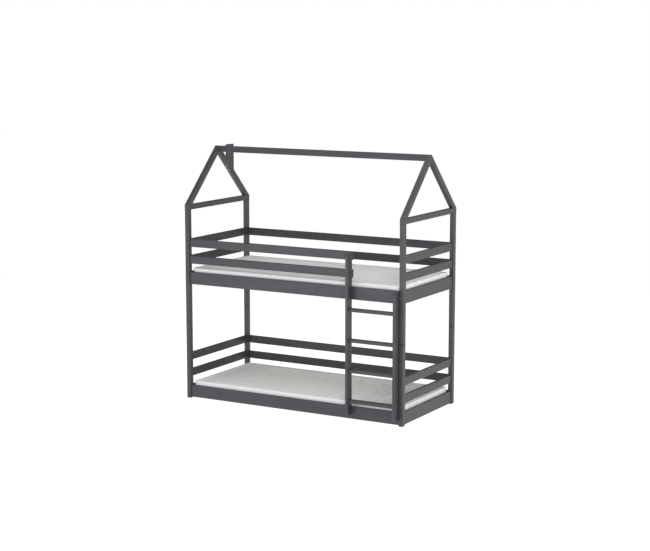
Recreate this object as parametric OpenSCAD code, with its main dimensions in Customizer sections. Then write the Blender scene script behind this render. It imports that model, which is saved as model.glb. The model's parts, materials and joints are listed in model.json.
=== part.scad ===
/* [Mattresses] */
// Length of each mattress
mattress_length = 1800; // [1400:10:2000]
// Width of each mattress
mattress_width = 800; // [600:10:1000]
// Thickness of each mattress at the middle of its crown
mattress_thickness = 80; // [60:5:120]
// Height by which the crown and the quilting rise over the mattress's top edge
mattress_crown = 6; // [4:1:12]
// Depth of the sewn channels that cross the mattress
quilt_depth = 4; // [2:0.5:4]
// Number of sewn channels across each mattress
quilt_channels = 23; // [16:1:24]
// Sideways swing of each wavy channel
quilt_swing = 5; // [0:1:12]
// Gap between the mattress and a side rail
side_clearance = 1; // [1:0.5:5]
// Gap between the mattress and a corner post
end_clearance = 6; // [4:1:20]
// Height of a mattress's top above the top of its rails
mattress_rise = 35; // [20:1:45]

/* [Posts and boards] */
// Thickness of the posts, tie beams and rafters along the bed
timber_t = 34; // [30:1:50]
// Depth of the posts, tie beams and rafters across the bed
timber_d = 40; // [36:1:60]
// Thickness of the rails, guards, ridge beam and chimney
board_t = 20; // [18:1:24]
// Radius of the eased long edges
edge_radius = 2.5; // [1:0.5:4]
// Height at which each post splits into a lower and an upper half
post_split = 602; // [520:2:760]
// Chamfer round the foot of each post
foot_chamfer = 6; // [2:1:9]
// Chamfer round the ends of the posts where they meet each other and the tie beams
joint_chamfer = 2; // [0.5:0.5:3]

/* [Rails and guards] */
// Height of each bed rail
rail_height = 94; // [88:1:110]
// Gap between the floor and the lower rails
floor_gap = 10; // [6:1:40]
// Height of the upper rails' lower edge above the floor
upper_rail_z = 897; // [820:1:960]
// Height of each guard board
guard_height = 60; // [50:1:75]
// Gap between a rail and the first guard above it
first_guard_gap = 65; // [60:1:75]
// Gap between the first and the second guard
second_guard_gap = 69; // [60:1:75]

/* [Roof] */
// Height of the tie beams' top, where the rafters stand
eave_z = 1509; // [1400:1:1700]
// Pitch of the rafters in degrees
roof_pitch = 45; // [40:1:50]
// Height trimmed off the point where the rafters meet
peak_trim = 6; // [2:1:8]
// Height of the ridge beam
ridge_height = 48; // [40:1:54]
// Width of the chimney board across the bed
chimney_width = 90; // [60:5:120]
// Distance from the ridge's middle to the near edge of the chimney
chimney_offset = 129; // [100:1:170]

/* [Ladder] */
// Thickness of the ladder stiles
stile_t = 22; // [18:1:26]
// Depth of the ladder stiles in front of the rails
stile_depth = 65; // [55:1:80]
// Clear width between the stiles
ladder_clear = 365; // [300:1:420]
// Gap between the right stile and the right front post
ladder_gap = 2; // [1:1:30]
// Height of the stiles' lower ends above the floor
stile_bottom = 46; // [30:1:52]
// Radius of the rounded front corners of the stiles
stile_round = 30; // [10:1:32]
// Height of the first rung's lower face above the floor
first_rung_z = 136; // [120:1:160]
// Rise from one rung to the next
rung_rise = 226; // [215:1:235]
// Height of a rung
rung_height = 24; // [20:1:30]
// Depth of a rung
rung_depth = 40; // [34:1:44]
// Distance of the rungs behind the front edge of the stiles
rung_inset = 18; // [10:1:20]

/* [Bed bases] */
// Height of the ledges that carry the slats
cleat_height = 20; // [15:1:22]
// Depth of the ledges that carry the slats
cleat_depth = 22; // [18:1:30]
// Thickness of a slat
slat_t = 18; // [14:1:20]
// Width of a slat
slat_width = 70; // [60:1:80]
// Number of slats in each bed
slat_count = 13; // [11:1:14]
// Width of the webbing tapes on the slats
tape_width = 18; // [12:1:25]
// Thickness of the webbing tapes
tape_t = 1.2; // [0.8:0.1:2]

/* [Fittings] */
// Diameter of the bolts that hold the rails
bolt_d = 6; // [6:1:7]
// Length of a rail bolt under its head
bolt_length = 70; // [65:1:80]
// Diameter of the bolt heads
bolt_head_d = 10; // [9:0.5:10.5]
// Height of the bolt heads
bolt_head_h = 6; // [4:0.5:7]
// Diameter of the barrel nuts
nut_d = 10; // [9:0.5:12]
// Length of the barrel nuts
nut_length = 14; // [12:0.5:15]
// Diameter of the wood screws
screw_d = 5; // [4:0.5:6]
// Length of a wood screw under its head
screw_length = 55; // [50:1:57]
// Diameter of the wood screw heads
screw_head_d = 9.5; // [8:0.5:10]
// Height of the wood screw heads
screw_head_h = 4; // [3:0.5:5]
// Diameter of the flush caps
cap_d = 12; // [11:0.5:13]
// Thickness of the flush caps
cap_t = 2.5; // [2:0.5:3]
// Diameter of the wooden dowels
dowel_d = 8; // [6:1:8]
// Length of the wooden dowels
dowel_length = 36; // [32:1:40]
// Diameter of the steel pins between the post halves
pin_d = 10; // [8:1:12]
// Length of the steel pins
pin_length = 100; // [60:5:120]
// Diameter of the small screws in the ledges
cleat_screw_d = 4; // [3:0.5:4.5]
// Length of the small screws in the ledges
cleat_screw_length = 32; // [26:1:34]

/* [Hidden] */
$fn = 48;

// Every cut runs this far past the face that it opens
overrun = 1;
// Play of a dowel, pin, nut or cap round its diameter
fit_play = 0.2;
// Play of a bolt in its through hole
bolt_play = 0.6;
// Depth of a blind hole past the end of what it holds
end_play = 0.5;
// Height of a soft piece above what carries it
soft_gap = 0.3;

// Overall size over the posts
bed_length = mattress_length + 2 * (end_clearance + timber_t);
rail_setback_y = (timber_d - board_t) / 2;
rail_setback_x = (timber_t - board_t) / 2;
bed_width = mattress_width + 2 * (side_clearance + board_t + rail_setback_y);

// The origin is the middle of the whole footprint, and the ladder stands out at the front
ladder_reach = stile_depth - rail_setback_y;
middle_y = ladder_reach / 2;
front_y = middle_y - bed_width / 2;
rear_y = middle_y + bed_width / 2;

// Middle lines of the posts, and with them of the rails and guards
post_x = bed_length / 2 - timber_t / 2;
post_y = bed_width / 2 - timber_d / 2;
inner_x = bed_length / 2 - timber_t;
inner_y = bed_width / 2 - timber_d;
rail_inner_y = bed_width / 2 - rail_setback_y - board_t;
rail_face_y = front_y + rail_setback_y;

// Middle heights of the rails and guards of each bed: rail, first guard, second guard
guard_steps = [
  0,
  rail_height / 2 + first_guard_gap + guard_height / 2,
  rail_height / 2 + first_guard_gap + guard_height * 3 / 2 + second_guard_gap
];
lower_rail_mid = floor_gap + rail_height / 2;
upper_rail_mid = upper_rail_z + rail_height / 2;
lower_rail_top = floor_gap + rail_height;
upper_rail_top = upper_rail_z + rail_height;
guard_top = upper_rail_mid + guard_steps[2] + guard_height / 2;

// Roof
tie_bottom = eave_z - timber_d;
peak_z = eave_z + bed_width / 2 * tan(roof_pitch);
roof_top = peak_z - peak_trim;
slope_length = bed_width / 2 / cos(roof_pitch);

// Ladder
right_stile_x = inner_x - ladder_gap - stile_t / 2;
left_stile_x = right_stile_x - ladder_clear - stile_t;
ladder_front_y = rail_face_y - stile_depth;
rung_mid_x = (left_stile_x + right_stile_x) / 2;
rung_mid_y = ladder_front_y + rung_inset + rung_depth / 2;
rung_dowel_spread = rung_depth / 4;

// Bed bases, measured down from the mattress
mattress_base_drop = mattress_thickness - mattress_rise;
slat_top_drop = mattress_base_drop + soft_gap + tape_t;
cleat_length = mattress_length - 2 * end_clearance;
slat_length = 2 * rail_inner_y - 2 * side_clearance;
slat_span = mattress_length - slat_width - 4 * end_clearance;
slat_step = slat_span / (slat_count - 1);
tape_y = slat_length / 4;

// Fittings in the joints: heights are measured from the middle of a board
dowel_spread = rail_height * 0.3;
end_bolt_lift = rail_height * 0.15;
guard_screw_lift = guard_height / 5;
bolt_sink = bolt_head_h + cap_t;
screw_sink = screw_head_h + cap_t;
dowel_in_post = dowel_length / 3;
nut_margin = bolt_d;
pilot_d = screw_d + fit_play;
cap_hole_d = cap_d + fit_play;
toe_screw_run = timber_d * 0.42;
tie_joint_spread = timber_d / 4;
ridge_screw_spread = cap_d / 2 + fit_play;
ridge_screw_drop = ridge_height * 0.4;
ridge_screw_step = ridge_height / 4;
peak_dowel_z = peak_z - timber_d / cos(roof_pitch) * 0.82;
chimney_screw_in = chimney_width * 0.27;
chimney_screw_step = chimney_width * 0.3;
cleat_screw_count = 5;
cleat_screw_head_d = cleat_screw_d * 2;
cleat_screw_head_h = cleat_screw_d * 0.6;

// Form of a mattress
top_points = 16;
edge_round = 14;
corner_round = 30;
side_draw = 4;
quilt_waves = 4;
side_height_shares = [0.2, 0.8];
corner_run_shares = [0, 0.15, 0.5];

// A rectangle with rounded corners, about its middle
module eased_outline(width, height) {
  square([width - 2 * edge_radius, height], center = true);
  square([width, height - 2 * edge_radius], center = true);
  for (side = [-1, 1], end = [-1, 1])
    translate([side * (width / 2 - edge_radius), end * (height / 2 - edge_radius)])
      circle(r = edge_radius);
}

// Bars with eased long edges, about their middle
module bar_x(length, depth, height) {
  rotate([90, 0, 90])
    linear_extrude(height = length, center = true)
      eased_outline(depth, height);
}

module bar_y(length, thickness, height) {
  rotate([90, 0, 0])
    linear_extrude(height = length, center = true)
      eased_outline(thickness, height);
}

module bar_z(length, thickness, depth) {
  linear_extrude(height = length)
    eased_outline(thickness, depth);
}

// Turns what is drawn along +Z so that it points along +X or +Y, or back
module along_x(way) {
  rotate([0, way * 90, 0]) children();
}

module along_y(way) {
  rotate([-way * 90, 0, 0]) children();
}

// A bolt hole with its counterbore: it starts at the outer face and points inwards along +Z
module bolt_hole(depth) {
  translate([0, 0, -overrun])
    cylinder(d = bolt_d + bolt_play, h = depth + overrun);
  translate([0, 0, -overrun])
    cylinder(d = cap_hole_d, h = bolt_sink + overrun);
}

// A screw hole with its counterbore
module screw_hole(depth, sink) {
  translate([0, 0, -overrun])
    cylinder(d = pilot_d, h = depth + overrun);
  translate([0, 0, -overrun])
    cylinder(d = cap_hole_d, h = sink + overrun);
}

// A blind hole that starts at a face and points inwards along +Z
module blind_hole(diameter, depth) {
  translate([0, 0, -overrun])
    cylinder(d = diameter, h = depth + overrun);
}

// A bolt with a hexagon socket, its head's top at the origin, pointing along +Z
module bolt(diameter, length, head_d, head_h) {
  difference() {
    union() {
      cylinder(d = head_d, h = head_h);
      translate([0, 0, head_h / 2])
        cylinder(d = diameter, h = length + head_h / 2);
    }
    translate([0, 0, -overrun])
      cylinder(d = head_d / 2, h = head_h / 2 + overrun, $fn = 6);
  }
}

// A wood screw with a cone point, its head's top at the origin, pointing along +Z
module wood_screw(diameter, length, head_d, head_h) {
  difference() {
    union() {
      cylinder(d = head_d, h = head_h);
      translate([0, 0, head_h / 2])
        cylinder(d = diameter, h = length - diameter + head_h / 2);
      translate([0, 0, head_h + length - diameter])
        cylinder(d1 = diameter, d2 = diameter / 5, h = diameter);
    }
    translate([0, 0, -overrun])
      cylinder(d = head_d / 2, h = head_h / 2 + overrun, $fn = 6);
  }
}

module dowel() {
  cylinder(d = dowel_d, h = dowel_length);
}

// The joints on one post, by their direction and heights
function rail_mid(level) = level == 0 ? lower_rail_mid : upper_rail_mid;
function board_mid(level, board) = rail_mid(level) + guard_steps[board];
function has_side_guard(level, side_y, side_x) =
  side_y > 0 || (level == 1 && side_x < 0);

// Places its children at the outer end face of a post, pointing inwards along the bed
module at_side_joint(side_x, side_y, z) {
  translate([side_x * bed_length / 2, middle_y + side_y * post_y, z])
    along_x(-side_x) children();
}

// Places its children at the outer front or rear face of a post, pointing inwards across the bed
module at_end_joint(side_x, side_y, z) {
  translate([side_x * post_x, middle_y + side_y * bed_width / 2, z])
    along_y(-side_y) children();
}

// Holes in one post for the boards of one bed
module post_joint_holes(side_x, side_y, level) {
  rail_z = rail_mid(level);
  at_side_joint(side_x, side_y, rail_z) bolt_hole(timber_t + overrun);
  at_end_joint(side_x, side_y, rail_z + end_bolt_lift) bolt_hole(timber_d + overrun);
  for (way = [-1, 1]) {
    at_side_joint(side_x, side_y, rail_z + way * dowel_spread)
      translate([0, 0, timber_t - dowel_in_post - end_play])
        cylinder(d = dowel_d + fit_play, h = dowel_in_post + end_play + overrun);
    at_end_joint(side_x, side_y, rail_z + way * dowel_spread)
      translate([0, 0, timber_d - dowel_in_post - end_play])
        cylinder(d = dowel_d + fit_play, h = dowel_in_post + end_play + overrun);
  }
  for (board = [1, 2]) {
    guard_z = board_mid(level, board);
    if (has_side_guard(level, side_y, side_x)) {
      at_side_joint(side_x, side_y, guard_z + guard_screw_lift)
        screw_hole(timber_t + overrun, screw_sink);
      at_side_joint(side_x, side_y, guard_z - guard_screw_lift)
        translate([0, 0, timber_t - dowel_in_post - end_play])
          cylinder(d = dowel_d + fit_play, h = dowel_in_post + end_play + overrun);
    }
    at_end_joint(side_x, side_y, guard_z - guard_screw_lift)
      screw_hole(timber_d + overrun, screw_sink);
    at_end_joint(side_x, side_y, guard_z + guard_screw_lift)
      translate([0, 0, timber_d - dowel_in_post - end_play])
        cylinder(d = dowel_d + fit_play, h = dowel_in_post + end_play + overrun);
  }
}

// The chamfer that is cut off one side of a post's lower end
module chamfer_cut(size, half, length) {
  translate([half, 0, 0])
    rotate([90, 0, 0])
      linear_extrude(height = length + 2 * overrun, center = true)
        polygon([
          [-size - overrun, -overrun],
          [overrun, -overrun],
          [overrun, size + overrun]
        ]);
}

// The chamfer round all four sides of a post's lower end
module end_chamfer(size) {
  for (turn = [0, 180]) {
    rotate([0, 0, turn]) chamfer_cut(size, timber_t / 2, timber_d);
    rotate([0, 0, turn + 90]) chamfer_cut(size, timber_d / 2, timber_t);
  }
}

module lower_post(side_x, side_y) {
  color("#4c4d50")
    difference() {
      translate([side_x * post_x, middle_y + side_y * post_y, 0])
        difference() {
          bar_z(post_split, timber_t, timber_d);
          end_chamfer(foot_chamfer);
          translate([0, 0, post_split]) mirror([0, 0, 1]) end_chamfer(joint_chamfer);
          translate([0, 0, post_split - pin_length / 2 - end_play])
            cylinder(d = pin_d + fit_play, h = pin_length / 2 + end_play + overrun);
        }
      post_joint_holes(side_x, side_y, 0);
    }
}

module upper_post(side_x, side_y) {
  color("#4c4d50")
    difference() {
      translate([side_x * post_x, middle_y + side_y * post_y, 0])
        difference() {
          translate([0, 0, post_split])
            bar_z(tie_bottom - post_split, timber_t, timber_d);
          translate([0, 0, post_split]) end_chamfer(joint_chamfer);
          translate([0, 0, tie_bottom]) mirror([0, 0, 1]) end_chamfer(joint_chamfer);
          translate([0, 0, post_split - overrun])
            cylinder(d = pin_d + fit_play, h = pin_length / 2 + end_play + overrun);
        }
      post_joint_holes(side_x, side_y, 1);
      post_top_holes(side_x, side_y);
    }
}

// Places its children on the tie beam's joint with a post, at a height and a way across the post
module at_tie_joint(side_x, side_y, way, z) {
  translate([side_x * post_x, middle_y + side_y * (post_y + way * tie_joint_spread), z])
    children();
}

module post_top_holes(side_x, side_y) {
  at_tie_joint(side_x, side_y, 1, eave_z - screw_head_h - screw_length - end_play)
    cylinder(d = pilot_d, h = screw_length);
  at_tie_joint(side_x, side_y, -1, tie_bottom - dowel_length / 2 - end_play)
    cylinder(d = dowel_d + fit_play, h = dowel_length / 2 + end_play + overrun);
}

// Holes at one end of a side rail or side guard, placed with its post's joint
module side_rail_end_holes(side_x, side_y, level) {
  z = rail_mid(level);
  nut_at = bolt_sink + bolt_length - nut_margin;
  at_side_joint(side_x, side_y, z) blind_hole(bolt_d + bolt_play, bolt_sink + bolt_length + end_play);
  for (way = [-1, 1])
    at_side_joint(side_x, side_y, z + way * dowel_spread)
      blind_hole(dowel_d + fit_play, timber_t + dowel_length - dowel_in_post + end_play);
  translate([side_x * (bed_length / 2 - nut_at), middle_y + side_y * rail_inner_y, z])
    along_y(side_y)
      blind_hole(nut_d + fit_play, board_t / 2 + nut_length / 2 + fit_play);
}

module end_rail_end_holes(side_x, side_y, level) {
  z = rail_mid(level) + end_bolt_lift;
  nut_at = bolt_sink + bolt_length - nut_margin;
  at_end_joint(side_x, side_y, z) blind_hole(bolt_d + bolt_play, bolt_sink + bolt_length + end_play);
  for (way = [-1, 1])
    at_end_joint(side_x, side_y, rail_mid(level) + way * dowel_spread)
      blind_hole(dowel_d + fit_play, timber_d + dowel_length - dowel_in_post + end_play);
  translate([
    side_x * (bed_length / 2 - rail_setback_x - board_t),
    middle_y + side_y * (bed_width / 2 - nut_at),
    z
  ])
    along_x(side_x)
      blind_hole(nut_d + fit_play, board_t / 2 + nut_length / 2 + fit_play);
}

module side_guard_end_holes(side_x, side_y, z) {
  at_side_joint(side_x, side_y, z + guard_screw_lift)
    blind_hole(pilot_d, screw_sink + screw_length + end_play);
  at_side_joint(side_x, side_y, z - guard_screw_lift)
    blind_hole(dowel_d + fit_play, timber_t + dowel_length - dowel_in_post + end_play);
}

module end_guard_end_holes(side_x, side_y, z) {
  at_end_joint(side_x, side_y, z - guard_screw_lift)
    blind_hole(pilot_d, screw_sink + screw_length + end_play);
  at_end_joint(side_x, side_y, z + guard_screw_lift)
    blind_hole(dowel_d + fit_play, timber_d + dowel_length - dowel_in_post + end_play);
}

// Places its children at a stile's screw, on the rail's inner face, pointing forwards
module at_stile_screw(x, z) {
  translate([x, rail_face_y + board_t, z]) along_y(-1) children();
}

// A stile's screws pass between the bolt and the dowels in the ends of the rails
function stile_screw_heights(tall) = concat(
  [lower_rail_mid + dowel_spread / 2, (lower_rail_mid + dowel_spread + lower_rail_top) / 2],
  [for (way = [-1, 1]) upper_rail_mid + way * dowel_spread / 2],
  tall ? [for (board = [1, 2]) board_mid(1, board)] : []
);

module stile_screw_holes() {
  for (z = stile_screw_heights(true))
    at_stile_screw(left_stile_x, z) stile_screw_hole();
  for (z = stile_screw_heights(false))
    at_stile_screw(right_stile_x, z) stile_screw_hole();
}

module stile_screw_hole() {
  blind_hole(pilot_d, screw_head_h + screw_length + end_play);
  blind_hole(screw_head_d + fit_play, screw_head_h);
}

function cleat_screw_x(index) =
  (index - (cleat_screw_count - 1) / 2) * cleat_length / cleat_screw_count;

// Middle height of the ledges of one bed
function slat_top(level) =
  (level == 0 ? lower_rail_top : upper_rail_top) - slat_top_drop;
function cleat_mid(level) = slat_top(level) - slat_t - cleat_height / 2;

// Places its children at a ledge's screws, on the ledge's inner face, pointing at the rail
module at_cleat_screws(side_y, level) {
  for (index = [0 : cleat_screw_count - 1])
    translate([
      cleat_screw_x(index),
      middle_y + side_y * (rail_inner_y - cleat_depth),
      cleat_mid(level)
    ])
      along_y(side_y) children();
}

module cleat_screw_hole() {
  blind_hole(cleat_screw_d + fit_play, cleat_screw_head_h + cleat_screw_length + end_play);
  blind_hole(cleat_screw_head_d + fit_play, cleat_screw_head_h);
}

module side_rail(side_y, level) {
  color("#595a5e")
    difference() {
      translate([0, middle_y + side_y * post_y, rail_mid(level)])
        bar_x(2 * inner_x, board_t, rail_height);
      for (side_x = [-1, 1]) side_rail_end_holes(side_x, side_y, level);
      at_cleat_screws(side_y, level) cleat_screw_hole();
      if (side_y < 0) stile_screw_holes();
    }
}

module end_rail(side_x, level) {
  color("#66676a")
    difference() {
      translate([side_x * post_x, middle_y, rail_mid(level)])
        bar_y(2 * inner_y, board_t, rail_height);
      for (side_y = [-1, 1]) end_rail_end_holes(side_x, side_y, level);
    }
}

module rear_guard(level, board) {
  z = board_mid(level, board);
  color("#464749")
    difference() {
      translate([0, middle_y + post_y, z]) bar_x(2 * inner_x, board_t, guard_height);
      for (side_x = [-1, 1]) side_guard_end_holes(side_x, 1, z);
    }
}

// The front guards run from the left post to the far face of the ladder's left stile
module front_guard(board) {
  z = board_mid(1, board);
  guard_end = left_stile_x + stile_t / 2;
  color("#5a5b5f")
    difference() {
      translate([(guard_end - inner_x) / 2, middle_y - post_y, z])
        bar_x(guard_end + inner_x, board_t, guard_height);
      side_guard_end_holes(-1, -1, z);
      at_stile_screw(left_stile_x, z) stile_screw_hole();
    }
}

module end_guard(side_x, level, board) {
  z = board_mid(level, board);
  color("#66676a")
    difference() {
      translate([side_x * post_x, middle_y, z])
        bar_y(2 * inner_y, board_t, guard_height);
      for (side_y = [-1, 1]) end_guard_end_holes(side_x, side_y, z);
    }
}

function rung_z(index) = first_rung_z + rung_height / 2 + index * rung_rise;

// Places its children at one dowel of a rung, on the stile's inner face, pointing into the rung
module at_rung_dowel(side_x, way, z) {
  face_x = rung_mid_x - side_x * ladder_clear / 2;
  translate([face_x, rung_mid_y + way * rung_dowel_spread, z])
    along_x(side_x) children();
}

module rung_dowel_holes(side_x) {
  for (index = [0 : 3], way = [-1, 1])
    at_rung_dowel(side_x, way, rung_z(index))
      translate([0, 0, -dowel_in_post - end_play])
        cylinder(d = dowel_d + fit_play, h = dowel_length + 2 * end_play);
}

// A stile is a board on edge: both its front corners are rounded
module stile(x, top, side_x, tall) {
  height = top - stile_bottom;
  color("#606164")
    difference() {
      intersection() {
        translate([x - stile_t / 2, ladder_front_y, stile_bottom])
          rotate([90, 0, 90])
            linear_extrude(height = stile_t) {
              translate([stile_round, 0]) square([stile_depth - stile_round, height]);
              translate([0, stile_round]) square([stile_depth, height - 2 * stile_round]);
              translate([stile_round, stile_round]) circle(r = stile_round);
              translate([stile_round, height - stile_round]) circle(r = stile_round);
            }
        translate([x, ladder_front_y + stile_depth / 2, stile_bottom])
          bar_z(height, stile_t, stile_depth);
      }
      rung_dowel_holes(side_x);
      for (z = stile_screw_heights(tall)) at_stile_screw(x, z) stile_screw_hole();
    }
}

module rung(index) {
  color("#5d5e61")
    difference() {
      translate([rung_mid_x, rung_mid_y, rung_z(index)])
        bar_x(ladder_clear, rung_depth, rung_height);
      for (side_x = [-1, 1]) rung_dowel_holes(side_x);
    }
}

// Stands its children in the frame of a slope: +Y runs up the outer face from the eave, +Z points out
module on_slope(side_y) {
  translate([0, middle_y, 0])
    mirror([0, side_y > 0 ? 1 : 0, 0])
      translate([0, -bed_width / 2, eave_z])
        rotate([roof_pitch, 0, 0]) children();
}

// Places its children at the toe screw of a rafter, pointing in
module at_toe_screw(side_x, side_y) {
  translate([side_x * post_x, 0, 0])
    on_slope(side_y)
      translate([0, toe_screw_run, 0])
        mirror([0, 0, 1]) children();
}

// Places its children at a screw through a rafter into the ridge beam's end
module at_ridge_screw(side_x, side_y) {
  z = roof_top - ridge_screw_drop - (side_y > 0 ? ridge_screw_step : 0);
  translate([side_x * bed_length / 2, middle_y + side_y * ridge_screw_spread, z])
    along_x(-side_x) children();
}

// Places its children at a screw up through the rear rafter into the chimney
module at_chimney_screw(index) {
  run = slope_length - (chimney_offset + chimney_screw_in + index * chimney_screw_step) / cos(roof_pitch);
  translate([-post_x, 0, 0])
    on_slope(1)
      translate([0, run, -timber_d]) children();
}

// Places its children at the dowel across the joint of two rafters, pointing to the rear
module at_peak_dowel(side_x) {
  translate([side_x * post_x, middle_y - dowel_length / 2, peak_dowel_z])
    along_y(1) children();
}

module rafter(side_x, side_y) {
  over = timber_d * 2;
  color("#5c5d60")
    difference() {
      translate([side_x * post_x, 0, 0])
        on_slope(side_y)
          translate([0, slope_length / 2, -timber_d / 2])
            bar_y(slope_length + 2 * over, timber_t, timber_d);
      translate([side_x * post_x, middle_y, eave_z - over])
        cube([timber_t + 2 * overrun, 2 * bed_width, 2 * over], center = true);
      translate([side_x * post_x, middle_y - side_y * bed_width, eave_z])
        cube([timber_t + 2 * overrun, 2 * bed_width, 3 * bed_width], center = true);
      translate([side_x * post_x, middle_y, roof_top + over])
        cube([timber_t + 2 * overrun, 2 * over, 2 * over], center = true);
      at_toe_screw(side_x, side_y)
        screw_hole(screw_sink + screw_length + end_play, screw_sink);
      at_ridge_screw(side_x, side_y) screw_hole(timber_t + overrun, screw_sink);
      at_peak_dowel(side_x)
        translate([0, 0, -end_play])
          cylinder(d = dowel_d + fit_play, h = dowel_length + 2 * end_play);
      if (side_x < 0 && side_y > 0)
        for (index = [0, 1]) at_chimney_screw(index) chimney_screw_hole();
    }
}

module chimney_screw_hole() {
  blind_hole(pilot_d, screw_head_h + screw_length + end_play);
  blind_hole(screw_head_d + fit_play, screw_head_h);
}

module tie_beam(side_x) {
  color("#5e5f62")
    difference() {
      translate([side_x * post_x, middle_y, (tie_bottom + eave_z) / 2])
        bar_y(bed_width, timber_t, timber_d);
      for (side_y = [-1, 1]) {
        at_tie_joint(side_x, side_y, 1, eave_z)
          mirror([0, 0, 1]) {
            blind_hole(pilot_d, timber_d + overrun);
            blind_hole(screw_head_d + fit_play, screw_head_h);
          }
        at_tie_joint(side_x, side_y, -1, tie_bottom)
          blind_hole(dowel_d + fit_play, dowel_length / 2 + end_play);
        at_toe_screw(side_x, side_y)
          blind_hole(pilot_d, screw_sink + screw_length + end_play);
      }
    }
}

module ridge_beam() {
  color("#545558")
    difference() {
      translate([0, middle_y, roof_top - ridge_height / 2])
        bar_x(2 * inner_x, board_t, ridge_height);
      for (side_x = [-1, 1], side_y = [-1, 1])
        at_ridge_screw(side_x, side_y)
          blind_hole(pilot_d, screw_sink + screw_length + end_play);
    }
}

// The chimney stands on the rear slope of the left gable and ends level with the ridge
module chimney() {
  mid_y = middle_y + chimney_offset + chimney_width / 2;
  color("#58595c")
    difference() {
      translate([-post_x, mid_y, eave_z])
        bar_z(roof_top - eave_z, board_t, chimney_width);
      translate([-post_x, 0, 0])
        on_slope(1)
          translate([0, slope_length / 2, -bed_width / 2])
            cube([timber_t, 2 * slope_length, bed_width], center = true);
      for (index = [0, 1]) at_chimney_screw(index) chimney_screw_hole();
    }
}

module cleats(level) {
  color("#4a4b4d")
    for (side_y = [-1, 1])
      difference() {
        translate([0, middle_y + side_y * (rail_inner_y - cleat_depth / 2), cleat_mid(level)])
          bar_x(cleat_length, cleat_depth, cleat_height);
        at_cleat_screws(side_y, level) cleat_screw_hole();
      }
}

module slats(level) {
  color("#cdb48c")
    for (index = [0 : slat_count - 1])
      translate([index * slat_step - slat_span / 2, middle_y, slat_top(level) - slat_t / 2])
        bar_y(slat_length, slat_width, slat_t);
}

module slat_tapes() {
  color("#d9d5c8")
    for (level = [0, 1], side_y = [-1, 1])
      translate([0, middle_y + side_y * tape_y, slat_top(level) + tape_t / 2])
        cube([slat_span + slat_width, tape_width, tape_t], center = true);
}

module post_pins() {
  color("silver")
    for (side_x = [-1, 1], side_y = [-1, 1])
      translate([side_x * post_x, middle_y + side_y * post_y, post_split - pin_length / 2])
        cylinder(d = pin_d, h = pin_length);
}

module rail_bolts() {
  color("silver")
    for (side_x = [-1, 1], side_y = [-1, 1], level = [0, 1]) {
      at_side_joint(side_x, side_y, rail_mid(level))
        translate([0, 0, cap_t]) bolt(bolt_d, bolt_length, bolt_head_d, bolt_head_h);
      at_end_joint(side_x, side_y, rail_mid(level) + end_bolt_lift)
        translate([0, 0, cap_t]) bolt(bolt_d, bolt_length, bolt_head_d, bolt_head_h);
    }
}

module barrel_nut() {
  difference() {
    cylinder(d = nut_d, h = nut_length, center = true);
    rotate([0, 90, 0])
      cylinder(d = bolt_d + fit_play, h = nut_d + 2 * overrun, center = true);
  }
}

module barrel_nuts() {
  nut_at = bolt_sink + bolt_length - nut_margin;
  color("silver")
    for (side_x = [-1, 1], side_y = [-1, 1], level = [0, 1]) {
      translate([
        side_x * (bed_length / 2 - nut_at), middle_y + side_y * post_y, rail_mid(level)
      ])
        rotate([90, 0, 0]) barrel_nut();
      translate([
        side_x * post_x,
        middle_y + side_y * (bed_width / 2 - nut_at),
        rail_mid(level) + end_bolt_lift
      ])
        rotate([0, 0, 90]) rotate([90, 0, 0]) barrel_nut();
    }
}

module cap() {
  cylinder(d = cap_d, h = cap_t);
}

module screw_caps() {
  color("#4a4b4e") {
    for (side_x = [-1, 1], side_y = [-1, 1], level = [0, 1]) {
      at_side_joint(side_x, side_y, rail_mid(level)) cap();
      at_end_joint(side_x, side_y, rail_mid(level) + end_bolt_lift) cap();
      for (board = [1, 2]) {
        if (has_side_guard(level, side_y, side_x))
          at_side_joint(side_x, side_y, board_mid(level, board) + guard_screw_lift) cap();
        at_end_joint(side_x, side_y, board_mid(level, board) - guard_screw_lift) cap();
      }
    }
    for (side_x = [-1, 1], side_y = [-1, 1]) {
      at_toe_screw(side_x, side_y) cap();
      at_ridge_screw(side_x, side_y) cap();
    }
  }
}

module wood_dowels() {
  color("#d8bd8f") {
    for (side_x = [-1, 1], side_y = [-1, 1], level = [0, 1]) {
      for (way = [-1, 1]) {
        at_side_joint(side_x, side_y, rail_mid(level) + way * dowel_spread)
          translate([0, 0, timber_t - dowel_in_post]) dowel();
        at_end_joint(side_x, side_y, rail_mid(level) + way * dowel_spread)
          translate([0, 0, timber_d - dowel_in_post]) dowel();
      }
      for (board = [1, 2]) {
        if (has_side_guard(level, side_y, side_x))
          at_side_joint(side_x, side_y, board_mid(level, board) - guard_screw_lift)
            translate([0, 0, timber_t - dowel_in_post]) dowel();
        at_end_joint(side_x, side_y, board_mid(level, board) + guard_screw_lift)
          translate([0, 0, timber_d - dowel_in_post]) dowel();
      }
    }
    for (side_x = [-1, 1], way = [-1, 1], index = [0 : 3])
      at_rung_dowel(side_x, way, rung_z(index))
        translate([0, 0, -dowel_in_post]) dowel();
    for (side_x = [-1, 1], side_y = [-1, 1])
      at_tie_joint(side_x, side_y, -1, tie_bottom - dowel_length / 2) dowel();
    for (side_x = [-1, 1]) at_peak_dowel(side_x) dowel();
  }
}

module frame_screw() {
  wood_screw(screw_d, screw_length, screw_head_d, screw_head_h);
}

module guard_screws() {
  color("silver")
    for (side_x = [-1, 1], side_y = [-1, 1], level = [0, 1], board = [1, 2]) {
      if (has_side_guard(level, side_y, side_x))
        at_side_joint(side_x, side_y, board_mid(level, board) + guard_screw_lift)
          translate([0, 0, cap_t]) frame_screw();
      at_end_joint(side_x, side_y, board_mid(level, board) - guard_screw_lift)
        translate([0, 0, cap_t]) frame_screw();
    }
}

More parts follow.
